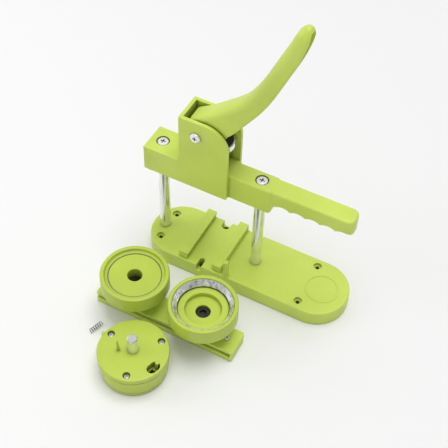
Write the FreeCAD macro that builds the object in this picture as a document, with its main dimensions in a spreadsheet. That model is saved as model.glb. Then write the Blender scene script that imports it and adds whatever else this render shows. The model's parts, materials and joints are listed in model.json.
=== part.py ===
"""Hand press for round badges, with its die slide, its upper die and a spare spring.

Millimetres, +Z up.  The origin is on the underside of the base, below the ram.  X runs along the
base towards the grip, Y runs from front to back.  The lever's handle stands up in its rest pose.
The die slide, the upper die and the spare spring lie on the same surface as the base, in front.
"""
import FreeCAD
import Part
import math
import os
import re
import Sketcher

SIZES = [
    # base
    ("base_radius", 41), ("base_left", -44.5), ("base_right", 141.5), ("deck_top", 21.5),
    ("deck_floor", 17), ("wall", 3), ("cover_thick", 2), ("rail_in", 16.8), ("rail_out", 28.8),
    ("lip_reach", 1.4), ("rail_front", -38.2), ("rail_back", 40), ("rail_top", 32.5),
    ("lip_bottom", 29.4), ("slot_half", 3.6), ("slot_end", 31), ("notch_half", 5.8),
    ("notch_end", 33.2), ("hole_left", -65.3),
    ("hole_right", 130.3), ("hole_left_y", 20.6), ("hole_right_y", 29.7), ("hole_small", 2.6),
    ("hole_big", 5.2), ("peg_x", 34.2), ("peg_wide", 4.8), ("peg_deep", 5.4), ("peg_top", 48),
    ("emblem_radius", 20.5), ("emblem_x", 149),
    # posts and head
    ("post_left", -70.2), ("post_right", 58.6), ("post_radius", 6.8), ("post_bottom", 12),
    ("post_top", 152), ("head_bottom", 135), ("head_top", 170), ("head_left", -85.5),
    ("head_half", 19.2), ("arm_half", 13.2), ("grip_half", 12), ("grip_under", 148.5),
    ("grip_end", 175), ("house_left", -38.5), ("house_right", 23), ("house_top", 238.5),
    ("arc_radius", 29), ("cheek", 4.2), ("pivot_x", -16.7), ("pivot_z", 217.4),
    # lever and ram
    ("cam_start", 7.6), ("cam_rate", 16.7), ("lever_half", 13.5), ("pad_top", 209.5),
    ("plate_top", 208.3), ("plate_thick", 3), ("plate_radius", 21), ("plate_half", 14.2),
    ("skirt_bottom", 200.8), ("ram_radius", 11), ("ram_bottom", 133), ("socket_radius", 6.1),
    ("socket_top", 157), ("bush_radius", 13), ("spring_wire", 1.1), ("spring_mean", 13),
    # die slide
    ("slide_x", 1.4), ("slide_y", -116.4), ("slide_half_long", 92.2), ("slide_half_wide", 16.4),
    ("slide_top", 18), ("groove_low", 7.5), ("groove_high", 14), ("groove_deep", 3),
    ("die_spacing", 91.2), ("ring_radius", 41), ("ring_low", 45), ("ring_high", 67),
    ("flange_radius", 36.6), ("flange_low", 40), ("flange_top", 47), ("column_radius", 15),
    ("disc_hole", 8.9), ("die_wire", 0.8), ("sill_a", 60), ("sill_b", 55), ("rim_b", 57),
    ("cup_b", 51),
    # upper die
    ("die_x", -2.4), ("die_y", -192), ("die_top", 36.2), ("die_radius", 41.6), ("cap_low", 29.6),
    ("stem_radius", 6), ("stem_neck", 5), ("stem_top", 59.3), ("screw_circle", 34),
    ("slot_circle", 33.4), ("key_half", 0.8), ("key_tall", 20), ("selector_low", 22),
    ("selector_high", 25),
    # spare spring
    ("spare_x", -72.8), ("spare_y", -176.8), ("spare_long", 18.4), ("spare_turn", 72),
    ("spare_radius", 3), ("spare_wire", 0.45),
]

os.makedirs("parts", exist_ok=True)
doc = FreeCAD.newDocument("badge_press")
sheet = doc.addObject("Spreadsheet::Sheet", "sizes")
for row, (alias, value) in enumerate(SIZES, start=1):
    sheet.set("A%d" % row, alias)
    sheet.set("B%d" % row, str(value))
    sheet.setAlias("B%d" % row, alias)
doc.recompute()
S = {alias: float(sheet.get(alias)) for alias, value in SIZES}

NODES = []


# ---------------------------------------------------------------- helpers
def formula(text):
    """The same sum, with each alias looked up in the sheet."""
    return re.sub(r"[a-z_]\w*", r"sizes.\g<0>", str(text))


def number(text):
    """Value of a sum of products of aliases and plain numbers, such as 'wall + 2*rail_in'."""
    total = 0.0
    for sign, product in re.findall(r"([+-]?)\s*([\w.*/]+)", str(text)):
        value = 1.0
        for operator, factor in re.findall(r"([*/]?)([\w.]+)", product):
            amount = float(factor) if factor[0].isdigit() else S[factor]
            value = value / amount if operator == "/" else value * amount
        total += -value if sign == "-" else value
    return total


def bind(thing, sizes):
    for path, text in sizes.items():
        thing.setExpression(path, formula(text))
    return thing


def place(thing, x=0, y=0, z=0):
    return bind(thing, {"Placement.Base.x": x, "Placement.Base.y": y, "Placement.Base.z": z})


def tool(kind, name):
    return doc.addObject(kind, name)


def box(name, x, y, z):
    """A box between two bounds on each axis, each bound a formula."""
    made = tool("Part::Box", name)
    bind(made, {"Length": "%s - (%s)" % (x[1], x[0]), "Width": "%s - (%s)" % (y[1], y[0]),
                "Height": "%s - (%s)" % (z[1], z[0])})
    return place(made, x[0], y[0], z[0])


def cylinder(name, x, y, z, radius):
    """An upright cylinder between two heights."""
    made = tool("Part::Cylinder", name)
    bind(made, {"Radius": radius, "Height": "%s - (%s)" % (z[1], z[0])})
    return place(made, x, y, z[0])


def cross_cylinder(name, x, y, z, radius):
    """A cylinder along Y between two bounds."""
    made = tool("Part::Cylinder", name)
    made.Placement = FreeCAD.Placement(FreeCAD.Vector(), FreeCAD.Rotation(FreeCAD.Vector(1, 0, 0), -90))
    bind(made, {"Radius": radius, "Height": "%s - (%s)" % (y[1], y[0])})
    return place(made, x, y[0], z)


def fuse(name, shapes):
    made = tool("Part::MultiFuse", name)
    made.Shapes = shapes
    return made


def cut(name, base, tools):
    made = tool("Part::Cut", name)
    made.Base = base
    made.Tool = tools[0] if len(tools) == 1 else fuse(name + "_tools", tools)
    return made


def common(name, shapes):
    made = tool("Part::MultiCommon", name)
    made.Shapes = shapes
    return made


def rounded(name, base, chosen, radius):
    """Round the edges that chosen(edge) picks."""
    doc.recompute()
    made = tool("Part::Fillet", name)
    made.Base = base
    edges = base.Shape.Edges
    made.Edges = [(i + 1, radius, radius) for i in range(len(edges)) if chosen(edges[i])]
    return made


def origin_plane(body, role):
    return [item for item in body.Origin.OriginFeatures if item.Role == role][0]


def outline(body, name, role, points):
    """A closed sketch whose corners are held to the sheet's sizes."""
    sketch = body.newObject("Sketcher::SketchObject", name)
    sketch.AttachmentSupport = [(origin_plane(body, role), "")]
    sketch.MapMode = "FlatFace"
    corners = [FreeCAD.Vector(number(u), number(v), 0) for u, v in points]
    count = len(corners)
    for i in range(count):
        sketch.addGeometry(Part.LineSegment(corners[i], corners[(i + 1) % count]), False)
    for i in range(count):
        sketch.addConstraint(Sketcher.Constraint("Coincident", i, 2, (i + 1) % count, 1))
    for i in range(count):
        for kind, text, value in (("DistanceX", points[i][0], corners[i].x),
                                  ("DistanceY", points[i][1], corners[i].y)):
            index = sketch.addConstraint(Sketcher.Constraint(kind, -1, 1, i, 1, value))
            if re.search("[a-z]", str(text)):
                sketch.setExpression("Constraints[%d]" % index, formula(text))
    return sketch


def turned(name, points, x=0, y=0):
    """A turned part: a profile of (radius, height) corners revolved about an upright axis."""
    body = doc.addObject("PartDesign::Body", name)
    profile = outline(body, name + "_profile", "XZ_Plane", points)
    doc.recompute()
    turn = body.newObject("PartDesign::Revolution", name + "_turn")
    turn.Profile = (profile, [""])
    turn.ReferenceAxis = (profile, ["V_Axis"])
    turn.Angle = 360
    return place(body, x, y)


def side_plate(name, points, half):
    """A part with one outline in the XZ plane and the same width either side of it."""
    body = doc.addObject("PartDesign::Body", name)
    profile = outline(body, name + "_profile", "XZ_Plane", points)
    doc.recompute()
    pad = body.newObject("PartDesign::Pad", name + "_pad")
    pad.Profile = (profile, [""])
    pad.SideType = "Symmetric"
    pad.setExpression("Length", formula("2*(%s)" % half))
    return body


def shaped(name, shape):
    made = doc.addObject("Part::Feature", name)
    made.Shape = shape
    return made


def node(label, source):
    """Give a finished sub-part its name and put it on the list of files."""
    source.Label = label
    NODES.append(source)
    return source


def group(label, solids):
    """Identical fasteners that share one node."""
    made = tool("Part::Compound", label)
    made.Links = solids
    return node(label, made)


def stadium(name, radius, low, high):
    """The base's plan: a straight middle and two round ends."""
    middle = box(name + "_middle", ("base_left", "base_right"), ("-(%s)" % radius, radius), (low, high))
    ends = [cylinder(name + "_end%d" % i, end, 0, (low, high), radius)
            for i, end in enumerate(("base_left", "base_right"))]
    return fuse(name, [middle] + ends)


def coil(wire, mean, height, turns):
    """An upright coil spring of short straight runs; its wire's centre runs from zero to the height."""
    steps = int(18 * turns)
    points = []
    for i in range(steps + 1):
        angle = 2 * math.pi * turns * i / steps
        points.append(FreeCAD.Vector(mean * math.cos(angle), mean * math.sin(angle), height * i / steps))
    section = Part.Wire([Part.makeCircle(wire, points[0], points[1] - points[0])])
    return Part.makePolygon(points).makePipeShell([section], True, False, 1)


def cross_slot(name, x, y, z, depth, reach):
    """The two crossing cuts of a cross-head screw's recess, below height z."""
    arms = []
    for index, (along, across) in enumerate(((reach, 0.8), (0.8, reach))):
        arms.append(box("%s_arm%d" % (name, index), ("%s - %s" % (x, along), "%s + %s" % (x, along)),
                        ("%s - %s" % (y, across), "%s + %s" % (y, across)),
                        ("%s - %s" % (z, depth), "%s + 1" % z)))
    return arms


# ---------------------------------------------------------------- base
DECK_HOLES = [("hole_left", "hole_left_y"), ("hole_left", "-hole_left_y"),
              ("hole_right", "hole_right_y"), ("hole_right", "-hole_right_y")]
COVER_SCREWS = [(-54, 31), (-54, -31), (48, 33), (48, -33), (155, 29), (155, -29)]


def base_plate():
    skin = stadium("base_skin", "base_radius", 0, "deck_top")
    doc.recompute()

    def top_edge(edge):
        return abs(edge.BoundBox.ZMin - S["deck_top"]) < 0.01 and edge.BoundBox.ZLength < 0.01

    skin = rounded("base_soft", skin, top_edge, 1.6)
    hollow = stadium("base_hollow", "base_radius - wall", -1, "deck_floor")
    shell = cut("base_shell", skin, [hollow])
    inside = ("cover_thick", "deck_floor + 1")
    solids = [shell]
    for index, (x, y) in enumerate(DECK_HOLES):
        solids.append(cylinder("hole_boss%d" % index, x, y, inside, 8))
    for index, x in enumerate(("post_left", "post_right")):
        solids.append(cylinder("post_boss%d" % index, x, 0, (8, "deck_top"), 11))
    for index, (x, y) in enumerate(COVER_SCREWS):
        solids.append(cylinder("screw_boss%d" % index, x, y, inside, 4))
    for index, y in enumerate((-14, 14)):
        solids.append(box("long_rib%d" % index, (-56, 168), (y - 1.2, y + 1.2), (6, "deck_floor + 1")))
    for index, x in enumerate((-36, 0, 36, 82, 110)):
        solids.append(box("cross_rib%d" % index, (x - 1.2, x + 1.2), (-38.5, 38.5), (6, "deck_floor + 1")))
    for side, index in ((-1, 0), (1, 1)):
        rail = ("rail_in", "rail_out") if side > 0 else ("-rail_out", "-rail_in")
        solids.append(box("rail%d" % index, rail, ("rail_front", "rail_back"),
                          ("deck_top - 0.5", "rail_top")))
        end = ("slot_end - 6", "base_radius - 0.5") if side > 0 else ("-base_radius + 0.5", "-slot_end + 6")
        solids.append(box("slot_boss%d" % index, ("-notch_half - 2.6", "notch_half + 2.6"), end, inside))
    solids.append(box("peg", ("peg_x", "peg_x + peg_wide"),
                      ("-base_radius + 0.3", "-base_radius + 0.3 + peg_deep"),
                      ("deck_top - 4", "peg_top")))
    rim = cut("emblem", cylinder("emblem_out", "emblem_x", 0, ("deck_top - 1", "deck_top + 0.5"),
                                 "emblem_radius"),
              [cylinder("emblem_in", "emblem_x", 0, ("deck_top - 2", "deck_top + 2"),
                        "emblem_radius - 1.2")])
    solids.append(rim)
    cuts = []
    for side, index in ((-1, 0), (1, 1)):
        wide = ("-rail_in - lip_reach", "-rail_in + 1")
        if side > 0:
            wide = ("rail_in - 1", "rail_in + lip_reach")
        cuts.append(box("undercut%d" % index, wide, ("rail_front - 1", "rail_back + 1"),
                        ("deck_top", "lip_bottom")))
        half = "notch_half" if side > 0 else "slot_half"
        middle = "notch_end" if side > 0 else "-slot_end"
        end = (middle, "base_radius + 1") if side > 0 else ("-base_radius - 1", middle)
        cuts.append(box("end_slot%d" % index, ("-" + half, half), end, (12, "deck_top + 1")))
        cuts.append(cylinder("end_round%d" % index, 0, middle, ("cover_thick - 1", "deck_top + 1"), half))
    for index, (x, y) in enumerate(DECK_HOLES):
        cuts.append(cylinder("deck_hole%d" % index, x, y, (-1, "deck_top + 1"), "hole_small"))
        cuts.append(cylinder("deck_sink%d" % index, x, y, ("deck_top - 3", "deck_top + 1"), "hole_big"))
    for index, x in enumerate(("post_left", "post_right")):
        cuts.append(cylinder("post_seat%d" % index, x, 0, ("post_bottom", "deck_top + 1"),
                             "post_radius + 0.05"))
        cuts.append(cylinder("bolt_way%d" % index, x, 0, (1, "post_bottom + 1"), 3.2))
        cuts.append(cylinder("bolt_room%d" % index, x, 0, ("cover_thick - 1", 8), 9))
    for index, (x, y) in enumerate(COVER_SCREWS):
        cuts.append(cylinder("pilot%d" % index, x, y, (-1, 12.5), 1.45))
    node("base_plate", cut("base_body", fuse("base_solid", solids), cuts))


def base_cover():
    sheet_body = stadium("cover_sheet", "base_radius - wall - 0.3", 0, "cover_thick")
    cuts = [cylinder("cover_hole%d" % i, x, y, (-1, 3), "hole_small + 0.6")
            for i, (x, y) in enumerate(DECK_HOLES)]
    for index, (x, y) in enumerate(COVER_SCREWS):
        cuts.append(cylinder("cover_sink%d" % index, x, y, (-1, 1.2), 3.1))
        cuts.append(cylinder("cover_way%d" % index, x, y, (-1, 3), 1.6))
    node("base_cover", cut("cover_body", sheet_body, cuts))
    screws = []
    for index, (x, y) in enumerate(COVER_SCREWS):
        screws.append(turned("cover_screw%d" % index, [(0, 0.25), (2.9, 0.25), (2.6, 1.15), (1.4, 1.15),
                                                       (1.4, 11), (0, 12)], x, y))
    group("cover_screws", screws)


# ---------------------------------------------------------------- posts and their fasteners
def posts():
    for side in ("left", "right"):
        profile = [(3.05, "post_bottom"), ("post_radius - 0.8", "post_bottom"),
                   ("post_radius", "post_bottom + 0.8"), ("post_radius", "post_top - 0.8"),
                   ("post_radius - 0.8", "post_top"), (3.05, "post_top"), (3.05, "post_top - 16"),
                   (0, "post_top - 16"), (0, "post_bottom + 16"), (3.05, "post_bottom + 16")]
        node("post_" + side, turned("post_%s_bar" % side, profile, "post_" + side))
    washers = []
    bolts = []
    screws = []
    for side in ("left", "right"):
        x = "post_" + side
        washers.append(turned(side + "_washer", [(3.2, 6.5), (7.5, 6.5), (7.5, 7.95), (3.2, 7.95)], x))
        head = tool("Part::Prism", side + "_hex")
        head.Polygon = 6
        head.Circumradius = 5.7
        head.Height = 4
        place(head, x, 0, 2.45)
        shank = cylinder(side + "_shank", x, 0, (6, 26), 3)
        bolts.append(fuse(side + "_bolt", [head, shank]))
        top = turned(side + "_screw_blank",
                     [(0, "post_top - 13"), (3, "post_top - 13"), (3, "head_top - 4.4"),
                      (7.2, "head_top - 4.4"), (7.2, "head_top - 1.6"), (6.2, "head_top - 0.7"),
                      (3.5, "head_top - 0.3"), (0, "head_top - 0.3")], x)
        screws.append(cut(side + "_screw", top, cross_slot(side + "_cross", x, "0", "head_top - 0.3", 1.9,
                                                           3.2)))
    group("post_washers", washers)
    group("post_bolts", bolts)
    group("head_screws", screws)


# ---------------------------------------------------------------- head: housing, beam and grip
def grip():
    beam = box("arm_beam", ("house_right - 4", 77), ("-arm_half", "arm_half"), ("head_bottom", "head_top"))
    handle = box("grip_bar", (70, "grip_end"), ("-grip_half", "grip_half"), ("grip_under", "head_top"))
    doc.recompute()

    def end_corner(edge):
        limits = edge.BoundBox
        return limits.ZLength > 20 and limits.XMin > 100

    def step_corner(edge):
        limits = edge.BoundBox
        return limits.XLength < 0.01 and limits.XMin > 76 and (limits.ZLength > 20 or limits.ZMax < 140)

    handle = rounded("grip_ends", handle, end_corner, 9)
    beam = rounded("arm_ends", beam, step_corner, 4)
    grooves = [cross_cylinder("finger%d" % i, 91 + 18.4 * i, (-20, 20), "grip_under - 11.5",
                              14.5) for i in range(5)]
    handle = cut("grip_grooved", handle, grooves)

    def long_top(edge):
        limits = edge.BoundBox
        return limits.ZMin > S["head_top"] - 0.01 and limits.XMax > 90

    handle = rounded("grip_soft", handle, long_top, 3)

    def beam_top(edge):
        limits = edge.BoundBox
        return limits.ZMin > S["head_top"] - 0.01 and limits.XLength > 20

    return [rounded("arm_soft", beam, beam_top, 2.5), handle]


def key_way():
    """A pocket in the beam's underside for the key on the upper die's cap."""
    way = side_plate("key_way", [(KEY_INNER - 0.5, "head_bottom - 1"), (KEY_OUTER + 0.5, "head_bottom - 1"),
                                 (KEY_OUTER + 0.5, "head_bottom + key_tall + 1.5"),
                                 (KEY_INNER - 0.5, "head_bottom + key_tall + 1.5")],
                     "key_half + 0.5")
    way.Placement.Rotation = FreeCAD.Rotation(FreeCAD.Vector(0, 0, 1), KEY_ANGLE)
    return way


def head_frame():
    solids = grip()
    solids.append(box("left_beam", ("head_left", "house_left + 2"), ("-head_half", "head_half"),
                      ("head_bottom", "head_top")))
    solids.append(box("house_block", ("house_left", "house_right"), ("-head_half", "head_half"),
                      ("head_bottom", "house_top - arc_radius")))
    solids.append(box("house_crown", ("house_left", "house_right - arc_radius"), ("-head_half", "head_half"),
                      ("house_top - arc_radius - 1", "house_top")))
    solids.append(cross_cylinder("house_arc", "house_right - arc_radius", ("-head_half", "head_half"),
                                 "house_top - arc_radius", "arc_radius"))
    cuts = [box("cavity", ("house_left + cheek", "house_right + 8"),
                ("-head_half + cheek", "head_half - cheek"),
                ("head_top", "house_top + 30"))]
    cuts.append(cylinder("ram_way", 0, 0, ("head_bottom - 1", "head_top + 1"), "bush_radius"))
    cuts.append(cross_cylinder("pivot_way", "pivot_x", ("-head_half - 1", "head_half + 1"), "pivot_z", 4.05))
    cuts.append(key_way())
    for side in ("left", "right"):
        x = "post_" + side
        cuts.append(cylinder("head_seat_" + side, x, 0, ("head_bottom - 1", "post_top"),
                             "post_radius + 0.05"))
        cuts.append(cylinder("head_way_" + side, x, 0, ("post_top - 1", "head_top"), 3.2))
        cuts.append(cylinder("head_sink_" + side, x, 0, ("head_top - 4.4", "head_top + 1"), 8))
    node("head_frame", cut("head_body", fuse("head_solid", solids), cuts))


def pivot():
    head = cross_cylinder("pivot_head", "pivot_x", ("-head_half - 3", "-head_half"), "pivot_z", 6.3)
    doc.recompute()

    def front_rim(edge):
        return edge.BoundBox.YLength < 0.01 and edge.BoundBox.YMin < -S["head_half"] - 2.9

    head = rounded("pivot_dome", head, front_rim, 1.6)
    shank = cross_cylinder("pivot_shank", "pivot_x", ("-head_half - 0.5", "head_half + 7.5"), "pivot_z", 4)
    arms = []
    for index, (along, up) in enumerate(((2.9, 0.7), (0.7, 2.9))):
        arms.append(box("pivot_cross%d" % index, ("pivot_x - %s" % along, "pivot_x + %s" % along),
                        ("-head_half - 4", "-head_half - 1.2"), ("pivot_z - %s" % up, "pivot_z + %s" % up)))
    node("pivot_bolt", cut("pivot_bolt_body", fuse("pivot_solid", [head, shank]), arms))
    nut = tool("Part::Prism", "pivot_nut_hex")
    nut.Polygon = 6
    nut.Circumradius = 7.2
    nut.Height = 6
    nut.Placement = FreeCAD.Placement(FreeCAD.Vector(), FreeCAD.Rotation(FreeCAD.Vector(1, 0, 0), -90))
    place(nut, "pivot_x", "head_half + 0.1", "pivot_z")
    node("pivot_nut",
         cut("pivot_nut_body", nut, [cross_cylinder("nut_way", "pivot_x", (19, 30), "pivot_z", 4.05)]))
    washers = []
    for index, side in enumerate((-1, 1)):
        low = side * (S["lever_half"] + 0.75) - 0.5
        ring = cross_cylinder("washer_out%d" % index, "pivot_x", (low, low + 1), "pivot_z", 8.5)
        washers.append(cut("washer%d" % index, ring, [cross_cylinder("washer_in%d" % index, "pivot_x",
                                                                     (low - 1, low + 2), "pivot_z", 4.1)]))
    group("pivot_washers", washers)


# ---------------------------------------------------------------- lever
LEVER_STATIONS = [
    # x, z of the middle, direction in degrees, half depth, half width, upper and lower corner radius
    (-19.5, 222.5, 36, 15, 13.5, 6, 1.5), (-6, 231, 37, 15.4, 13.5, 6, 1.5),
    (6, 239.2, 41, 16.4, 13.5, 7, 1.6), (24.6, 258.5, 47, 13.8, 13.5, 8, 2),
    (40.9, 277.7, 54, 11.3, 13.3, 8.5, 2.5), (54.6, 299.8, 62.5, 10.5, 13, 9, 3),
    (66.6, 325.6, 66.5, 10, 12.9, 9, 3), (77.9, 352.7, 66.5, 9.7, 12.6, 9, 3),
    (87.5, 378, 67.3, 8.5, 11.5, 7.8, 3.3), (91.4, 390.3, 71.5, 6.8, 9.4, 6.4, 3.2),
    (93, 394.9, 76, 4.9, 6.6, 4.5, 2.8), (93.6, 397.6, 78, 3.4, 4.4, 3, 2.2),
    (93.9, 398.8, 79, 1.7, 2.2, 1.5, 1.2),
]


def lever_section(x, z, degrees, deep, wide, upper, lower, drop=0.0):
    """A round-cornered section square to the lever's line; drop moves it towards the lower side."""
    turn = math.radians(degrees)
    normal = FreeCAD.Vector(-math.sin(turn), 0, math.cos(turn))
    side = FreeCAD.Vector(0, 1, 0)
    centre = FreeCAD.Vector(x, 0, z) - normal * drop

    def at(across, up):
        return centre + side * across + normal * up

    edges = []
    ends = []
    for across, up, radius, start in ((wide, deep, upper, 0), (-wide, deep, upper, 90),
                                      (-wide, -deep, lower, 180), (wide, -deep, lower, 270)):
        middle = (across - math.copysign(radius, across), up - math.copysign(radius, up))
        bend = [at(middle[0] + radius * math.cos(math.radians(start + step)),
                   middle[1] + radius * math.sin(math.radians(start + step))) for step in (0, 45, 90)]
        ends.append((bend[0], bend[2]))
        edges.append(Part.Arc(*bend).toShape())
    outline_edges = []
    for i in range(4):
        outline_edges.append(edges[i])
        outline_edges.append(Part.LineSegment(ends[i][1], ends[(i + 1) % 4][0]).toShape())
    return Part.Wire(outline_edges)


def lever_root():
    """The lever's root: a boss round the pivot with an involute cam beside it.

    The cam lifts in proportion to the lever's turn, and always touches the plate right above the ram.
    """
    boss = S["cam_start"]
    half = S["lever_half"]
    centre = FreeCAD.Vector(S["pivot_x"], 0, S["pivot_z"])
    cam = []
    for i in range(9):
        turn = math.radians(62.0 * i / 8)
        lift = boss + S["cam_rate"] * turn
        facing = turn - math.pi / 2
        cam.append(centre + FreeCAD.Vector(
            lift * math.cos(facing) - S["cam_rate"] * math.sin(facing), 0,
            lift * math.sin(facing) + S["cam_rate"] * math.cos(facing)))
    curve = Part.BSplineCurve()
    curve.interpolate(cam)
    corners = [cam[-1], FreeCAD.Vector(19, 0, 228.9), FreeCAD.Vector(8, 0, 238), centre,
               centre - FreeCAD.Vector(0, 0, boss), cam[0]]
    edges = [curve.toShape()] + [Part.LineSegment(corners[i], corners[i + 1]).toShape()
                                 for i in range(len(corners) - 1)]
    wedge = Part.Face(Part.Wire(edges)).extrude(FreeCAD.Vector(0, 2 * half, 0))
    wedge.translate(FreeCAD.Vector(0, -half, 0))
    front = centre - FreeCAD.Vector(0, half, 0)
    return wedge.fuse(Part.makeCylinder(boss, 2 * half, front, FreeCAD.Vector(0, 1, 0)))


def lever():
    half = S["lever_half"]
    arm = Part.makeLoft([lever_section(*station) for station in LEVER_STATIONS], True)
    hollow = Part.makeLoft([lever_section(x, z, degrees, deep - 0.9, wide - 2.8, upper - 2.5, 0.6, 1.9)
                            for x, z, degrees, deep, wide, upper, lower in LEVER_STATIONS[3:11]], True)
    body = lever_root().fuse(arm).cut(hollow)
    bore = Part.makeCylinder(6, 4 * half, FreeCAD.Vector(S["pivot_x"], -2 * half, S["pivot_z"]),
                             FreeCAD.Vector(0, 1, 0))
    node("lever", shaped("lever_body", body.cut(bore).removeSplitter()))
    sleeve = cross_cylinder("sleeve", "pivot_x", ("-lever_half", "lever_half"), "pivot_z", 5.98)
    node("lever_bush", cut("sleeve_body", sleeve, [cross_cylinder("sleeve_way", "pivot_x",
                                                                  (-20, 20), "pivot_z", 4.05)]))


# ---------------------------------------------------------------- ram
def ram():
    shoulder = "plate_top - plate_thick"
    profile = [("socket_radius", "ram_bottom"), ("ram_radius - 1", "ram_bottom"),
               ("ram_radius", "ram_bottom + 1"), ("ram_radius", shoulder),
               (2.6, shoulder), (2.6, "plate_top - 19"), (0, "plate_top - 19"),
               (0, "socket_top + 1.5"), ("socket_radius", "socket_top"), ("socket_radius", "ram_bottom + 9"),
               (7.4, "ram_bottom + 9"), (7.4, "ram_bottom + 7"), ("socket_radius", "ram_bottom + 7")]
    node("ram", turned("ram_body", profile))
    bush = [(11.05, "head_bottom + 0.3"), ("bush_radius - 0.02", "head_bottom + 0.3"),
            ("bush_radius - 0.02", "head_top"), (11.05, "head_top")]
    node("ram_bush", turned("ram_bush_body", bush))
    clip = tool("Part::Torus", "clip_ring")
    clip.Radius1 = 6.75
    clip.Radius2 = 0.55
    clip.Angle3 = 325
    place(clip, 0, 0, "ram_bottom + 8")
    node("stem_clip", clip)
    ram_plate()
    screw = turned("plate_screw", [(0, "plate_top - 17"), (2.5, "plate_top - 17"), (2.5, "plate_top - 2.6"),
                                   (5, "plate_top - 0.2"), (0, "plate_top - 0.2")])
    node("ram_screw", cut("plate_screw_body", screw, cross_slot("plate_cross", "0", "0", "plate_top - 0.2",
                                                                1.6, 2)))
    wire = S["spring_wire"]
    room = S["plate_top"] - S["plate_thick"] - S["head_top"]
    spring = shaped("ram_spring_coil", coil(wire, S["spring_mean"], room - 2 * wire - 0.2, 5.5))
    node("ram_spring", place(spring, 0, 0, "head_top + spring_wire + 0.1"))


def ram_plate():
    """The ram's round cap: a plate with a skirt and two flats, and a pad on it that the cam presses."""
    low = "skirt_bottom"
    cap = turned("plate_cap", [(2.7, "plate_top"), (2.7, "plate_top - plate_thick"),
                               ("plate_radius - 2.4", "plate_top - plate_thick"),
                               ("plate_radius - 1.8", low),
                               ("plate_radius - 0.4", low), ("plate_radius", "skirt_bottom + 0.4"),
                               ("plate_radius - 0.5", "plate_top - 0.8"),
                               ("plate_radius - 1.3", "plate_top")])
    room = box("plate_room", (-30, 30), ("-plate_half", "plate_half"), ("skirt_bottom - 1", "plate_top + 1"))
    sink = tool("Part::Cone", "plate_sink")
    sink.Radius1 = 2.6
    sink.Radius2 = 5.4
    sink.Height = 2.8
    place(sink, 0, 0, "plate_top - 2.7")
    node("ram_plate", cut("plate_body", common("plate_flats", [cap, room]), [sink]))
    pad = cylinder("pad_round", 0, 0, ("plate_top + 0.02", "pad_top"), "plate_radius - 2.2")
    width = box("pad_width", (-30, 30), ("-plate_half + 0.6", "plate_half - 0.6"),
                ("plate_top - 1", "pad_top + 1"))
    node("ram_pad", common("pad_body", [pad, width]))


# ---------------------------------------------------------------- die slide
DIES = [("a", "slide_x - die_spacing/2"), ("b", "slide_x + die_spacing/2")]


def slide_plate():
    left = "slide_x - slide_half_long"
    right = "slide_x + slide_half_long"
    front = "slide_y - slide_half_wide"
    back = "slide_y + slide_half_wide"
    blank = box("slide_blank", (left, right), (front, back), (0, "slide_top"))
    doc.recompute()

    def upright(edge):
        return edge.BoundBox.ZLength > 10

    blank = rounded("slide_soft", blank, upright, 1.2)
    band = ("groove_low", "groove_high")
    cuts = [box("groove_front", (left + " - 1", right + " - 2.2"),
                (front + " - 1", front + " + groove_deep"), band),
            box("groove_back", (left + " - 1", right + " - 2.2"), (back + " - groove_deep", back + " + 1"),
                band)]
    for name, x in DIES:
        cuts.append(cylinder("slide_way_" + name, x, "slide_y", (-1, "slide_top + 1"), 3.2))
        pocket = tool("Part::Prism", "nut_pocket_" + name)
        pocket.Polygon = 6
        pocket.Circumradius = 6.2
        pocket.Height = 7
        cuts.append(place(pocket, x, "slide_y", -1))
    for index, x in enumerate((left + " + 14.8", right + " - 14.8")):
        cuts.append(cylinder("stop_pilot%d" % index, x, "slide_y", (8, "slide_top + 1"), 1.55))
    node("slide_plate", cut("slide_body", blank, cuts))
    stops = []
    for index, x in enumerate((left + " + 14.8", right + " - 14.8")):
        stop = turned("stop%d" % index, [(0, 9), (1.5, 9), (1.5, "slide_top + 0.1"),
                                         (3.4, "slide_top + 0.1"),
                                         (3.4, "slide_top + 1.2"), (2.2, "slide_top + 2.2"),
                                         (0, "slide_top + 2.4")], x, "slide_y")
        stops.append(cut("stop_screw%d" % index, stop, cross_slot("stop_cross%d" % index, x, "slide_y",
                                                                  "slide_top + 2.4", 1.1, 1.9)))
    group("slide_screws", stops)


def die_fixings():
    screws = []
    nuts = []
    for name, x in DIES:
        screw = turned("die_screw_" + name, [(0, 2), (3, 2), (3, 41.2), (8.4, 41.2), (8.4, 47.2), (7.6, 48),
                                             (0, 48)], x, "slide_y")
        socket = tool("Part::Prism", "socket_" + name)
        socket.Polygon = 6
        socket.Circumradius = 4.6
        socket.Height = 4
        screws.append(cut("die_screw_body_" + name, screw, [place(socket, x, "slide_y", 45)]))
        nut = tool("Part::Prism", "die_nut_" + name)
        nut.Polygon = 6
        nut.Circumradius = 6
        nut.Height = 5
        way = cylinder("die_nut_way_" + name, x, "slide_y", (0, 7), 3.05)
        nuts.append(cut("die_nut_body_" + name, place(nut, x, "slide_y", 0.9), [way]))
    group("die_screws", screws)
    group("die_nuts", nuts)


def die_base(name, x):
    """The fixed foot of a lower die: a column that passes between the rails and a round flange."""
    profile = [(3.2, "slide_top + 0.02"), ("column_radius", "slide_top + 0.02"),
               ("column_radius", "flange_low - 2"),
               ("column_radius + 2", "flange_low"), ("flange_radius", "flange_low"),
               ("flange_radius", "flange_top"), ("disc_hole + 0.3", "flange_top"),
               ("disc_hole + 0.3", 41), (3.2, 41)]
    node("die_%s_base" % name, turned("die_%s_base_body" % name, profile, x, "slide_y"))


RING_OUTSIDE = [("flange_radius + 0.3", "ring_low"), ("ring_radius - 0.3", "ring_low"),
                ("ring_radius", "ring_low + 1"), ("ring_radius", "ring_high - 1.4"),
                ("ring_radius - 0.5", "ring_high - 0.4"), ("ring_radius - 1.5", "ring_high")]


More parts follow.
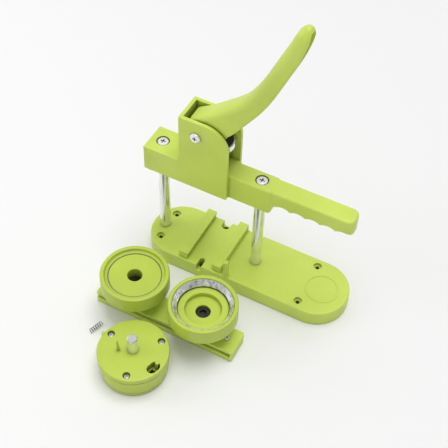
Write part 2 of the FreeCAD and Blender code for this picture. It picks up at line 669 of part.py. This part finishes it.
def die_a(x):
    die_base("a", x)
    inside = [(36.7, "ring_high"), (36.2, "ring_high - 0.5"), (35.4, "ring_high - 3.6"),
              (35.1, "ring_high - 4"),
              (32.05, "ring_high - 4"), (32.05, "sill_a"), ("flange_radius + 0.3", "sill_a")]
    node("die_a_ring", turned("die_a_ring_body", RING_OUTSIDE + inside, x, "slide_y"))
    node("die_a_insert", turned("die_a_insert_body", [(31.25, 50), (31.7, 50), (31.7, 62.4), (31.25, 62.4)],
                                x, "slide_y"))
    disc = [("disc_hole", "flange_top + 0.05"), (14, "flange_top + 0.05"), (14, 55), (31.1, 55),
            (31.1, 62.1),
            (30.6, 62.6), ("disc_hole + 0.6", 62.6), ("disc_hole", 62)]
    node("die_a_disc", turned("die_a_disc_body", disc, x, "slide_y"))


def die_b(x):
    die_base("b", x)
    inside = [(37, "ring_high"), (36, "ring_high - 0.8"), (35.8, "ring_high - 2.9"), (31.5, 59),
              (31.5, "sill_b + 1"), (30.3, "sill_b + 1"), (30.3, "sill_b"),
              ("flange_radius + 0.3", "sill_b")]
    node("die_b_ring", turned("die_b_ring_body", RING_OUTSIDE + inside, x, "slide_y"))
    crimp = [(30.5, 56.1), (31.2, 56.1), (31.2, 59.2), (33.4, 61.8), (35.5, 64.3), (35.5, 65.3),
             (34.9, 65.3),
             (32.7, 62.6), (30.5, 59.9)]
    node("die_b_crimp", turned("die_b_crimp_body", crimp, x, "slide_y"))
    disc = [("disc_hole", "flange_top + 0.05"), (29.7, "flange_top + 0.05"), (29.7, "rim_b - 0.5"),
            (29.2, "rim_b"),
            (22.3, "rim_b"), (21.8, "rim_b - 0.5"), (21.6, "cup_b"), ("disc_hole + 0.5", "cup_b"),
            ("disc_hole", "cup_b - 0.5")]
    node("die_b_disc", turned("die_b_disc_body", disc, x, "slide_y"))


def die_springs():
    wire = S["die_wire"]
    for (name, x), mean, top in zip(DIES, (34.6, 33.4), ("sill_a", "sill_b")):
        spring = shaped("die_%s_coil" % name, coil(wire, mean, S[top] - S["flange_top"] - 2 * wire - 0.1, 2))
        node("die_%s_spring" % name, place(spring, x, "slide_y", "flange_top + die_wire + 0.05"))


# ---------------------------------------------------------------- upper die
def around(degrees, radius):
    """A point on a circle round the upper die's axis, as two formulas."""
    turn = math.radians(degrees)
    return ("die_x + %.4f*%s" % (math.cos(turn), radius) if math.cos(turn) >= 0 else
            "die_x - %.4f*%s" % (-math.cos(turn), radius),
            "die_y + %.4f*%s" % (math.sin(turn), radius) if math.sin(turn) >= 0 else
            "die_y - %.4f*%s" % (-math.sin(turn), radius))


SCREW_ANGLES = (168.5, 48.5, -71.5)
SELECTOR_ANGLE = -16.2
KEY_ANGLE = 211
KEY_INNER = 14.4
KEY_OUTER = 18.6


def radial_box(name, degrees, inner, outer, half, low, high):
    """A box that lies along a radius of the upper die."""
    made = tool("Part::Box", name)
    turn = math.radians(degrees)
    made.Length = outer - inner
    made.Width = 2 * half
    bind(made, {"Height": "%s - (%s)" % (high, low)})
    made.Placement = FreeCAD.Placement(FreeCAD.Vector(), FreeCAD.Rotation(FreeCAD.Vector(0, 0, 1), degrees))
    dx = inner * math.cos(turn) + half * math.sin(turn)
    dy = inner * math.sin(turn) - half * math.cos(turn)
    return place(made, "die_x + (%.4f)" % dx, "die_y + (%.4f)" % dy, low)


def upper_die_cap():
    disc = [(0, "cap_low"), ("die_radius - 1.1", "cap_low"), ("die_radius", "cap_low + 0.3"),
            ("die_radius", "die_top - 1.4"), ("die_radius - 0.5", "die_top - 0.4"),
            ("die_radius - 1.5", "die_top"),
            (0, "die_top")]
    key = side_plate("cap_key", [(KEY_INNER, "die_top - 1"), (KEY_OUTER, "die_top - 1"),
                                 (KEY_OUTER, "die_top + 2"), (KEY_OUTER - 1.1, "die_top + key_tall"),
                                 (KEY_OUTER - 2.1, "die_top + key_tall"), (KEY_INNER, "die_top + 1.5")],
                     "key_half")
    key.Placement.Rotation = FreeCAD.Rotation(FreeCAD.Vector(0, 0, 1), KEY_ANGLE)
    solids = [turned("cap_disc", disc, "die_x", "die_y"), place(key, "die_x", "die_y")]
    x, y = around(176, "die_radius")
    solids.append(cylinder("cap_bump", x, y, ("cap_low + 0.3", "die_top + 0.4"), 2.2))
    cuts = [cylinder("cap_bore", "die_x", "die_y", ("cap_low - 1", "die_top + 1"), "stem_neck + 0.02")]
    for index, degrees in enumerate(SCREW_ANGLES):
        x, y = around(degrees, "screw_circle")
        cuts.append(cylinder("cap_way%d" % index, x, y, ("cap_low - 1", "die_top + 1"), 1.8))
        cuts.append(cylinder("cap_sink%d" % index, x, y, ("cap_low + 2", "die_top + 1"), 4.5))
    cuts += selector_slot()
    node("upper_die_cap", cut("cap_body", fuse("cap_solid", solids), cuts))


def selector_slot():
    """The round-ended slot in the cap, along the way the selector's tab moves."""
    half = 5.9
    middle = S["slot_circle"]
    shapes = [radial_box("slot_middle", SELECTOR_ANGLE, middle - half, middle + half, 2.4,
                         "cap_low - 1", "die_top + 1")]
    for index, turn in enumerate((-4.2, 4.2)):
        x, y = around(SELECTOR_ANGLE + turn, "slot_circle")
        shapes.append(cylinder("slot_round%d" % index, x, y, ("cap_low - 1", "die_top + 1"), half))
    return shapes


def upper_die_shell():
    wall = [(30, 6.1), (38.7, 6.1), (39.6, 6.9), ("die_radius - 0.2", "cap_low - 1.3"),
            ("die_radius - 1.1", "cap_low - 0.8"), ("die_radius - 1.1", "cap_low - 0.05"),
            (30, "cap_low - 0.05")]
    blank = turned("shell_wall", wall, "die_x", "die_y")
    cuts = [radial_box("shell_gate", SELECTOR_ANGLE, 26, 37.6, 11, "selector_low - 2", "cap_low + 1")]
    for index, degrees in enumerate(SCREW_ANGLES):
        x, y = around(degrees, "screw_circle")
        cuts.append(cylinder("shell_pilot%d" % index, x, y, (12, "cap_low + 1"), 1.55))
    node("upper_die_shell", cut("shell_body", blank, cuts))
    foot = [(30.5, 0), (38, 0), (39, 1), (39.2, 5.3), (38.6, 5.8), (38.6, 6.05), (30.5, 6.05)]
    node("upper_die_foot", turned("foot_body", foot, "die_x", "die_y"))
    crimp = [(28.8, 1.2), (30.45, 1.2), (30.45, 5.9), (29.8, 5.9), (29.8, 1.8), (28.8, 1.8)]
    node("upper_die_crimp", turned("crimp_body", crimp, "die_x", "die_y"))
    press = [(0, 2.5), (28.6, 2.5), (28.6, 9), (10, 11), (10, 20.4), (0, 20.4)]
    node("upper_die_disc", turned("press_disc", press, "die_x", "die_y"))


def upper_die_stem():
    stem = [(0, 20.5), (13, 20.5), (13, "selector_low - 0.3"), (10.5, "selector_low - 0.3"),
            (10.5, "cap_low - 0.05"),
            ("stem_neck", "cap_low - 0.05"), ("stem_neck", "die_top + 0.05"),
            ("stem_radius", "die_top + 0.05"),
            ("stem_radius", "stem_top - 1"), ("stem_radius - 1", "stem_top"), (0, "stem_top")]
    node("upper_die_stem", turned("stem_body", stem, "die_x", "die_y"))


def upper_die_screws():
    screws = []
    for index, degrees in enumerate(SCREW_ANGLES):
        x, y = around(degrees, "screw_circle")
        blank = turned("cap_screw%d" % index, [(0, 14), (1.5, 15), (1.5, "cap_low + 2.05"),
                                               (3.6, "cap_low + 2.05"),
                                               (3.6, "cap_low + 3"), (2.4, "cap_low + 3.8"),
                                               (0, "cap_low + 4")], x, y)
        screws.append(cut("cap_screw_body%d" % index, blank,
                          cross_slot("cap_cross%d" % index, x, y, "cap_low + 4", 1.1, 1.9)))
    group("upper_die_screws", screws)


def upper_die_selector():
    ring = turned("selector_ring", [(10.58, "selector_low"), (28.8, "selector_low"), (28.8, "selector_high"),
                                    (10.58, "selector_high")], "die_x", "die_y")
    side = SELECTOR_ANGLE + 10.5
    arm = radial_box("selector_arm", side, 27, 36.2, 3.4, "selector_low", "selector_high")
    tab = radial_box("selector_tab", side, 31.4, 35.4, 1.2, "selector_high - 1", "die_top + 2")
    node("upper_die_selector", fuse("selector_body", [ring, arm, tab]))


# ---------------------------------------------------------------- spare spring
def spare_spring():
    wire = S["spare_wire"]
    made = shaped("spare_coil", coil(wire, S["spare_radius"] - wire, S["spare_long"] - 2 * wire, 6))
    flat = FreeCAD.Rotation(FreeCAD.Vector(1, 0, 0), -90)
    made.Placement = FreeCAD.Placement(
        FreeCAD.Vector(S["spare_x"], S["spare_y"], S["spare_radius"]),
        FreeCAD.Rotation(FreeCAD.Vector(0, 0, 1), S["spare_turn"] - 90) * flat)
    node("spare_spring", made)


base_plate()
base_cover()
posts()
head_frame()
pivot()
lever()
ram()
slide_plate()
die_fixings()
die_a(dict(DIES)["a"])
die_b(dict(DIES)["b"])
die_springs()
upper_die_cap()
upper_die_shell()
upper_die_stem()
upper_die_screws()
upper_die_selector()
spare_spring()
doc.recompute()

for item in doc.Objects:
    bad = [state for state in item.State if state in ("Invalid", "Error")]
    if bad:
        raise RuntimeError("%s is %s" % (item.Name, bad))
for item in NODES:
    if item.Shape.isNull() or not item.Shape.isValid():
        raise RuntimeError("%s has no sound shape" % item.Label)
for item in NODES:
    item.Shape.exportStep("parts/%s.step" % item.Label)
    limits = item.Shape.BoundBox
    print("%-20s %d solid(s) %9.1f mm3  x %.1f..%.1f  y %.1f..%.1f  z %.1f..%.1f" % (
        item.Label, len(item.Shape.Solids), item.Shape.Volume, limits.XMin, limits.XMax,
        limits.YMin, limits.YMax, limits.ZMin, limits.ZMax))
print(len(NODES), "nodes")
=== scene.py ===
import json
import math
import bmesh
import bpy
from mathutils import Matrix, Vector

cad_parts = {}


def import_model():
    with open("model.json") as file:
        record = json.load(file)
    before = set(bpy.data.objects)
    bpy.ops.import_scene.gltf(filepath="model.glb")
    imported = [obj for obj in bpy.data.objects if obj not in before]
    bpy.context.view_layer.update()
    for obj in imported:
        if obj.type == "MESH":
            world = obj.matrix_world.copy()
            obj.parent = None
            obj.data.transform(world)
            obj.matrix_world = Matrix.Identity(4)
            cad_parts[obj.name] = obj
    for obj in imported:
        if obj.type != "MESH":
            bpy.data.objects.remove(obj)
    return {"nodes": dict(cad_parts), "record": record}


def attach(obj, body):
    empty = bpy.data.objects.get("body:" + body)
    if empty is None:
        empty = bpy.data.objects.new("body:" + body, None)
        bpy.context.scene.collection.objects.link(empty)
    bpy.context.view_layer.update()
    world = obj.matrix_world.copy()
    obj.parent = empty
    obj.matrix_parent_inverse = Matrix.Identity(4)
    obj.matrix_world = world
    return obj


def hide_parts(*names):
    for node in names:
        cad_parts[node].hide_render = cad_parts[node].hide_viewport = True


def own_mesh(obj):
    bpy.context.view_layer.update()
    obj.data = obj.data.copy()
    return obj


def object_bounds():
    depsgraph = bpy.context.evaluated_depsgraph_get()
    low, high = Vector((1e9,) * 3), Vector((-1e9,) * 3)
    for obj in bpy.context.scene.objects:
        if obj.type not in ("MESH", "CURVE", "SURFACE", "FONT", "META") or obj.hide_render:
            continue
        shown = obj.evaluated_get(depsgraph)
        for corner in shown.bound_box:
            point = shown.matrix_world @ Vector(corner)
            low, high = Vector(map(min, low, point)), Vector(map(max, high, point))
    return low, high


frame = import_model()
cad_low, cad_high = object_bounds()
nodes = frame["nodes"]
scene = bpy.context.scene
scene.view_settings.view_transform = "Standard"


# ---------------------------------------------------------------- materials
def new_material(name):
    material = bpy.data.materials.new(name)
    material.use_nodes = True
    tree = material.node_tree
    return material, tree, tree.nodes["Principled BSDF"]


def wire(tree, start, end):
    tree.links.new(start, end)


def noise(tree, scale, detail=3.0, stretch=(1, 1, 1), rough=0.5):
    """A noise texture in the object's own metres."""
    coords = tree.nodes.new("ShaderNodeTexCoord")
    mapping = tree.nodes.new("ShaderNodeMapping")
    mapping.inputs["Scale"].default_value = stretch
    wire(tree, coords.outputs["Object"], mapping.inputs["Vector"])
    texture = tree.nodes.new("ShaderNodeTexNoise")
    texture.inputs["Scale"].default_value = scale
    texture.inputs["Detail"].default_value = detail
    texture.inputs["Roughness"].default_value = rough
    wire(tree, mapping.outputs["Vector"], texture.inputs["Vector"])
    return texture.outputs["Fac"]


def ramp(tree, value, stops):
    node = tree.nodes.new("ShaderNodeValToRGB")
    while len(node.color_ramp.elements) < len(stops):
        node.color_ramp.elements.new(0.5)
    for element, (place, colour) in zip(node.color_ramp.elements, stops):
        element.position = place
        element.color = (*colour, 1)
    wire(tree, value, node.inputs["Fac"])
    return node.outputs["Color"]


def spread(tree, value, low, high):
    """The value from 0 to 1 taken to a range."""
    node = tree.nodes.new("ShaderNodeMapRange")
    node.inputs["From Min"].default_value = 0.3
    node.inputs["From Max"].default_value = 0.7
    node.inputs["To Min"].default_value = low
    node.inputs["To Max"].default_value = high
    wire(tree, value, node.inputs["Value"])
    return node.outputs["Result"]


def bump(tree, shader, layers):
    """Stacks bumps: (height, strength, distance in metres)."""
    last = None
    for height, strength, distance in layers:
        node = tree.nodes.new("ShaderNodeBump")
        node.inputs["Strength"].default_value = strength
        node.inputs["Distance"].default_value = distance
        wire(tree, height, node.inputs["Height"])
        if last:
            wire(tree, last, node.inputs["Normal"])
        last = node.outputs["Normal"]
    wire(tree, last, shader.inputs["Normal"])


def edge_mask(tree, radius):
    """1 near edges and corners, 0 on open faces."""
    bevel = tree.nodes.new("ShaderNodeBevel")
    bevel.samples = 4
    bevel.inputs["Radius"].default_value = radius
    geometry = tree.nodes.new("ShaderNodeNewGeometry")
    dot = tree.nodes.new("ShaderNodeVectorMath")
    dot.operation = "DOT_PRODUCT"
    wire(tree, bevel.outputs["Normal"], dot.inputs[0])
    wire(tree, geometry.outputs["Normal"], dot.inputs[1])
    node = tree.nodes.new("ShaderNodeMapRange")
    node.inputs["From Min"].default_value = 0.995
    node.inputs["From Max"].default_value = 0.88
    wire(tree, dot.outputs["Value"], node.inputs["Value"])
    return node.outputs["Result"]


def crevice(tree, distance, low=0.3, high=0.9):
    """0 deep in gaps and recesses, 1 on open faces."""
    node = tree.nodes.new("ShaderNodeAmbientOcclusion")
    node.samples = 4
    node.inputs["Distance"].default_value = distance
    span = tree.nodes.new("ShaderNodeMapRange")
    span.inputs["From Min"].default_value = low
    span.inputs["From Max"].default_value = high
    wire(tree, node.outputs["AO"], span.inputs["Value"])
    return span.outputs["Result"]


def mix_colour(tree, fac, first, second):
    node = tree.nodes.new("ShaderNodeMix")
    node.data_type = "RGBA"
    wire(tree, fac, node.inputs["Factor"])
    for socket, colour in ((node.inputs["A"], first), (node.inputs["B"], second)):
        if isinstance(colour, tuple):
            socket.default_value = (*colour, 1)
        else:
            wire(tree, colour, socket)
    return node.outputs["Result"]


def plastic(name, tone, grain=0.06, gloss=0.42):
    """Moulded plastic: slight flow marks in the colour, a fine eroded grain, paler edges as a painted
    highlight, and painted shade in gaps, recesses and deep holes.
    """
    material, tree, shader = new_material(name)
    dark = tuple(c * 0.93 for c in tone)
    pale = tuple(min(c * 1.05, 1) for c in tone)
    flow = ramp(tree, noise(tree, 14, 4), [(0.35, dark), (0.65, pale)])
    # painted highlight: a paler colour along the edges, where light catches them
    edge_highlight = tuple(min(c * 1.16 + 0.012, 1) for c in tone)
    open_face = mix_colour(tree, edge_mask(tree, 0.0008), flow, edge_highlight)
    # painted shade: a darker, more saturated colour in gaps and recesses, and near black deep in holes
    deep = (tone[0] * 0.5, tone[1] * 0.52, tone[2] * 0.35)
    shaded = mix_colour(tree, crevice(tree, 0.004), deep, open_face)
    black = (tone[0] * 0.05, tone[1] * 0.05, tone[2] * 0.05)
    wire(tree, mix_colour(tree, crevice(tree, 0.02, 0.03, 0.24), black, shaded), shader.inputs["Base Color"])
    wire(tree, spread(tree, noise(tree, 60, 5), gloss - 0.05, gloss + 0.07), shader.inputs["Roughness"])
    shader.inputs["IOR"].default_value = 1.53
    shader.inputs["Subsurface Weight"].default_value = 0.04
    shader.inputs["Subsurface Radius"].default_value = (0.003, 0.004, 0.001)
    bump(tree, shader, [(noise(tree, 1500, 2), grain, 0.0002), (noise(tree, 30, 2), 0.05, 0.0006)])
    return material


def metal(name, tone, gloss, streak=(1, 1, 1), scratch=0.03, gap=0.002, metallic=1.0):
    """Plated or drawn metal: streaks in the gloss, hair scratches and painted shade in its recesses."""
    material, tree, shader = new_material(name)
    shader.inputs["Metallic"].default_value = metallic
    dark = tuple(c * 0.86 for c in tone)
    unshaded_tone = ramp(tree, noise(tree, 45, 5), [(0.3, dark), (0.6, tone)])
    # painted shade: near black in recesses, within gap of another surface
    wire(tree, mix_colour(tree, crevice(tree, gap, 0.35, 0.8), (0.03, 0.03, 0.035), unshaded_tone),
         shader.inputs["Base Color"])
    streaks = noise(tree, 700, 3, streak)
    wire(tree, spread(tree, streaks, gloss * 0.7, gloss * 1.4), shader.inputs["Roughness"])
    bump(tree, shader, [(streaks, scratch, 0.0001)])
    return material


def pressed(name, tone):
    """Thin plated sheet, wavy from pressing, so that it shines in patches; the colour is also painted darker
    in patches as a painted reflection, and painted shade darkens its recesses.
    """
    material, tree, shader = new_material(name)
    shader.inputs["Metallic"].default_value = 0.75
    dark = tuple(c * 0.55 for c in tone)
    # painted reflection: the colour goes darker in patches, which stands in for the patchy shine of the wavy
    # sheet
    patches = ramp(tree, noise(tree, 170, 3, rough=0.6), [(0.36, dark), (0.5, tone)])
    # painted shade: near black in recesses
    wire(tree, mix_colour(tree, crevice(tree, 0.002, 0.3, 0.7), (0.05, 0.05, 0.055), patches),
         shader.inputs["Base Color"])
    wire(tree, spread(tree, noise(tree, 90, 3), 0.08, 0.26), shader.inputs["Roughness"])
    bump(tree, shader, [(noise(tree, 140, 2), 0.5, 0.0012)])
    return material


LIME = (0.56, 0.69, 0.10)
lime = plastic("lime_plastic", LIME)
# the die parts get a darker copy of the same lime plastic: painted shade
shaded_lime = plastic("lime_die_plastic", (0.45, 0.56, 0.06))
chrome = metal("bright_plating", (0.88, 0.89, 0.91), 0.11, (1, 1, 0.08), metallic=0.86)
stem_plate = metal("stem_plating", (0.93, 0.94, 0.95), 0.12, (1, 1, 0.08), metallic=0.8)
steel = metal("plain_steel", (0.60, 0.60, 0.60), 0.32)
oxide = metal("black_oxide", (0.05, 0.05, 0.055), 0.38)
nylon = plastic("pale_nylon", (0.78, 0.77, 0.72), 0.03, 0.5)
rubber = plastic("black_rubber", (0.025, 0.025, 0.027), 0.12, 0.6)
# the screws' wider gap paints deeper shade into their recesses and cross slots: painted shade
screw_plate = metal("screw_plating", (0.92, 0.93, 0.95), 0.2, gap=0.003, metallic=0.45)
# the insert's wide gap paints it nearly black: painted shade of the thin ring gap around it
sleeve_plate = metal("sleeve_plating", (0.62, 0.63, 0.65), 0.16, gap=0.006)
crimp_plate = pressed("crimp_plating", (0.90, 0.91, 0.94))

SLOT_MATERIALS = {"lime_plastic": lime, "bright_plating": chrome, "plain_steel": steel,
                  "black_oxide": oxide, "pale_plastic": nylon, "black_rubber": rubber}
NODE_MATERIALS = {"head_screws": screw_plate, "pivot_bolt": screw_plate, "upper_die_screws": screw_plate,
                  "slide_screws": screw_plate, "die_a_insert": sleeve_plate, "die_b_crimp": crimp_plate,
                  "upper_die_stem": stem_plate}
node_slot = {sub["node"]: sub["material_slot"] for sub in frame["record"]["subparts"]}


def soften(thing, width):
    """Round the edges a little, as a mould or a deburring leaves them."""
    weld = thing.modifiers.new("weld", "WELD")
    weld.merge_threshold = 0.00002
    bevel = thing.modifiers.new("bevel", "BEVEL")
    bevel.width = width
    bevel.segments = 2
    bevel.limit_method = "ANGLE"
    bevel.angle_limit = math.radians(38)
    bevel.use_clamp_overlap = True
    bevel.miter_outer = "MITER_ARC"
    even = thing.modifiers.new("even", "WEIGHTED_NORMAL")
    even.keep_sharp = False


SOFT = {"head_frame": 0.0007, "base_plate": 0.0006, "slide_plate": 0.0006, "upper_die_cap": 0.0004,
        "die_a_ring": 0.0004, "die_b_ring": 0.0004, "upper_die_shell": 0.0003}
for name, thing in nodes.items():
    slot = node_slot[name]
    if name in SOFT:
        soften(thing, SOFT[name])
    material = NODE_MATERIALS.get(name, SLOT_MATERIALS[slot])
    # the die and upper die parts take the darker lime copy, which paints shade onto them
    if slot == "lime_plastic" and name.split("_")[0] in ("die", "upper"):
        material = shaded_lime
    thing.data.materials.clear()
    thing.data.materials.append(material)


# ---------------------------------------------------------------- springs
def coil(name, body, node, material, place, wire_radius, mean, height, turns, lean=None):
    """A spring of round wire and even pitch, which stands in for the CAD node of the same spring."""
    around, along = 12, 36
    steps = int(along * turns)
    made = bmesh.new()
    rings = []
    pitch = height / turns
    for i in range(steps + 1):
        turn = 2 * math.pi * i / along
        out = Vector((math.cos(turn), math.sin(turn), 0))
        centre = out * mean + Vector((0, 0, height * i / steps))
        ahead = Vector((-math.sin(turn), math.cos(turn), pitch / (2 * math.pi * mean))).normalized()
        side = ahead.cross(out)
        ring = []
        for k in range(around):
            angle = 2 * math.pi * k / around
            reach = (out * math.cos(angle) + side * math.sin(angle)) * wire_radius
            ring.append(made.verts.new(centre + reach))
        rings.append(ring)
    for first, second in zip(rings, rings[1:]):
        for k in range(around):
            after = (k + 1) % around
            made.faces.new((first[k], first[after], second[after], second[k])).smooth = True
    made.faces.new(rings[0])
    made.faces.new(rings[-1])
    bmesh.ops.recalc_face_normals(made, faces=made.faces)
    matrix = Matrix.Translation(place)
    if lean:
        matrix = matrix @ lean
    made.transform(matrix)
    mesh = bpy.data.meshes.new(name)
    made.to_mesh(mesh)
    made.free()
    mesh.materials.append(material)
    thing = bpy.data.objects.new(name, mesh)
    scene.collection.objects.link(thing)
    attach(thing, body)
    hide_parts(node)
    return thing


# heights of the faces that the springs stand between, in metres
PLATE_UNDER = 0.2053
HEAD_TOP = 0.170
FLANGE_TOP = 0.047
SLIDE_Y = -0.1164
END_GAP = 0.0001

spring_wire = metal("spring_wire", (0.62, 0.62, 0.63), 0.24, gap=0.0015)
spare_wire = metal("spare_wire", (0.30, 0.30, 0.31), 0.2, gap=0.0015)

ram_wire = 0.0011
ram_coil = coil("ram_coil", "frame", "ram_spring", spring_wire, (0, 0, HEAD_TOP + ram_wire + END_GAP),
                ram_wire, 0.013, PLATE_UNDER - HEAD_TOP - 2 * (ram_wire + END_GAP), 5.5)
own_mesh(ram_coil)

die_wire = 0.0008
for letter, x, mean, top, keep in (("a", -0.0442, 0.0346, 0.060, 0.42), ("b", 0.047, 0.0334, 0.055, 0.62)):
    die_coil = coil("die_%s_coil" % letter, "die_slide", "die_%s_spring" % letter, spring_wire,
                    (x, SLIDE_Y, FLANGE_TOP + die_wire + END_GAP), die_wire,
                    mean, top - FLANGE_TOP - 2 * (die_wire + END_GAP), 2)
    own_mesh(die_coil)

SPARE_TURN = 72
SPARE_RADIUS = 0.003
SPARE_LONG = 0.0184
wire_radius = 0.00045
lying = Matrix.Rotation(math.radians(SPARE_TURN - 90), 4, "Z") @ Matrix.Rotation(math.radians(-90), 4, "X")
coil("spare_coil", "spare_spring", "spare_spring", spare_wire, (-0.0728, -0.1768, SPARE_RADIUS), wire_radius,
     SPARE_RADIUS - wire_radius, SPARE_LONG - 2 * wire_radius, 6, lying)


# ---------------------------------------------------------------- floor, light and camera
def floor():
    mesh = bpy.data.meshes.new("floor")
    half = 6.0
    corners = [(-half, -half, 0), (half, -half, 0), (half, half, 0), (-half, half, 0)]
    mesh.from_pydata(corners, [], [(0, 1, 2, 3)])
    thing = bpy.data.objects.new("floor", mesh)
    scene.collection.objects.link(thing)
    thing.location.z = cad_low.z - 0.0002
    material, tree, shader = new_material("floor_paper")
    shader.inputs["Base Color"].default_value = (0.81, 0.81, 0.81, 1)
    shader.inputs["Roughness"].default_value = 0.7
    mesh.materials.append(material)


def lamp(name, kind, place, target, energy):
    data = bpy.data.lights.new(name, kind)
    data.energy = energy
    thing = bpy.data.objects.new(name, data)
    scene.collection.objects.link(thing)
    thing.location = place
    thing.rotation_euler = (Vector(target) - Vector(place)).to_track_quat("-Z", "Y").to_euler()
    return data


def lights():
    """Two far soft lights, which light the floor evenly to the horizon, and a weak one on the left."""
    for name, place, spread_degrees, strength in (("top", (0.3, 0.3, 3.0), 34, 1.5),
                                                  ("front", (0.5, -0.9, 2.8), 26, 0.36)):
        lamp(name, "SUN", place, (0.03, -0.05, 0.1), strength).angle = math.radians(spread_degrees)
    left = lamp("left", "AREA", (-1.3, -0.6, 0.9), (0, -0.1, 0.1), 4)
    left.shape = "DISK"
    left.size = 0.8


def camera():
    azimuth, elevation, roll = (math.radians(v) for v in (25.81, 49.94, 2.33))
    ahead = Vector((-math.sin(azimuth) * math.cos(elevation), math.cos(azimuth) * math.cos(elevation),
                    -math.sin(elevation)))
    right = Vector((math.cos(azimuth), math.sin(azimuth), 0))
    up = right.cross(ahead)
    turned_right = right * math.cos(roll) + up * math.sin(roll)
    turned_up = up * math.cos(roll) - right * math.sin(roll)
    data = bpy.data.cameras.new("camera")
    data.sensor_width = 36
    data.lens = 75.88
    data.clip_start = 0.01
    data.clip_end = 50
    thing = bpy.data.objects.new("camera", data)
    scene.collection.objects.link(thing)
    turn = Matrix((turned_right, turned_up, -ahead)).transposed()
    thing.matrix_world = Matrix.Translation((0.33685, -0.6697, 0.95147)) @ turn.to_4x4()
    scene.camera = thing


def world():
    """A pale studio: as bright as the floor at the horizon, with darker bands above for the plated parts."""
    made = bpy.data.worlds.new("studio")
    made.use_nodes = True
    tree = made.node_tree
    coords = tree.nodes.new("ShaderNodeTexCoord")
    parts = tree.nodes.new("ShaderNodeSeparateXYZ")
    wire(tree, coords.outputs["Generated"], parts.inputs["Vector"])
    height = ramp(tree, parts.outputs["Z"], [(0.04, (0.9, 0.9, 0.9)), (0.14, (0.55, 0.55, 0.55)),
                                             (0.31, (0.25, 0.25, 0.255)), (0.45, (0.59, 0.59, 0.59))])
    across = ramp(tree, parts.outputs["X"], [(0.0, (1, 1, 1)), (0.30, (1, 1, 1)), (0.42, (0.42, 0.42, 0.43)),
                                             (0.56, (1, 1, 1)), (0.78, (0.35, 0.35, 0.36)),
                                             (0.95, (0.9, 0.9, 0.9))])
    both = tree.nodes.new("ShaderNodeMix")
    both.data_type = "RGBA"
    both.blend_type = "MULTIPLY"
    above = ramp(tree, parts.outputs["Z"], [(0.05, (0, 0, 0)), (0.16, (1, 1, 1))])
    wire(tree, above, both.inputs["Factor"])
    wire(tree, height, both.inputs["A"])
    wire(tree, across, both.inputs["B"])
    wire(tree, both.outputs["Result"], tree.nodes["Background"].inputs["Color"])
    tree.nodes["Background"].inputs["Strength"].default_value = 1.0
    scene.world = made


floor()
world()
lights()
camera()
